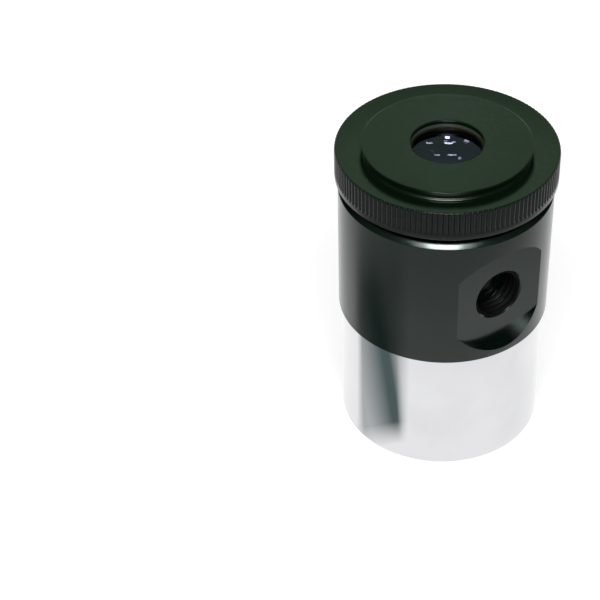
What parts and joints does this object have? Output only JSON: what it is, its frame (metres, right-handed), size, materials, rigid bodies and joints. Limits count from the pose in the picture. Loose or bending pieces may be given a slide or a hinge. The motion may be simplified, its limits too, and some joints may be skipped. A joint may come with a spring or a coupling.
{
  "type": "reticle eyepiece",
  "caption": "Eyepiece with a chromed nose barrel, black housing with a threaded side port for a reticle lamp, and a knurled focusing top round a small eye lens.",
  "frame": {"origin": "middle of the nose barrel's open end, at its rim", "axes": "+Z along the optical axis towards the eye, -Y out of the illuminator port"},
  "size_m": [0.0337, 0.0336, 0.0512],
  "materials": {
    "chrome_plate": "bright chrome plate",
    "black_anodised": "satin black anodised",
    "blackened_brass": "dark, dull",
    "inner_black": "matt black anodised",
    "coated_glass": "polished, coated blue-violet",
    "clear_glass": "polished, clear",
    "rubber": "smooth, greased"
  },
  "bodies": {
    "housing": {"barrel": "chrome_plate", "body": "black_anodised", "damping_ring": "rubber", "reticle_cell": "inner_black", "reticle_glass": "clear_glass", "field_stop": "inner_black", "reticle_retaining_ring": "inner_black", "reticle_lock_ring": "inner_black"},
    "lens_group": {"lens_cell": "blackened_brass", "eye_lens_flint": "coated_glass", "eye_lens_crown": "coated_glass", "lens_spacer": "inner_black", "field_lens_crown": "coated_glass", "field_lens_flint": "coated_glass", "lens_retaining_ring": "inner_black", "travel_stop_ring": "inner_black"},
    "focus_top": {"focus_ring": "black_anodised"}
  },
  "joints": [
    {"name": "focus_lift", "type": "slide", "parent": "housing", "child": "lens_group", "axis": [0, 0, 1], "range_m": [-0.0012, 0.0015]},
    {"name": "focus_turn", "type": "hinge", "parent": "lens_group", "child": "focus_top", "pos_m": [0, 0, 0.048], "axis": [0, 0, 1], "range_deg": [-432, 540]}
  ],
  "couplings": [
    {"joint": "focus_turn", "follows": "focus_lift", "rad_per_m": 6283.2}
  ]
}
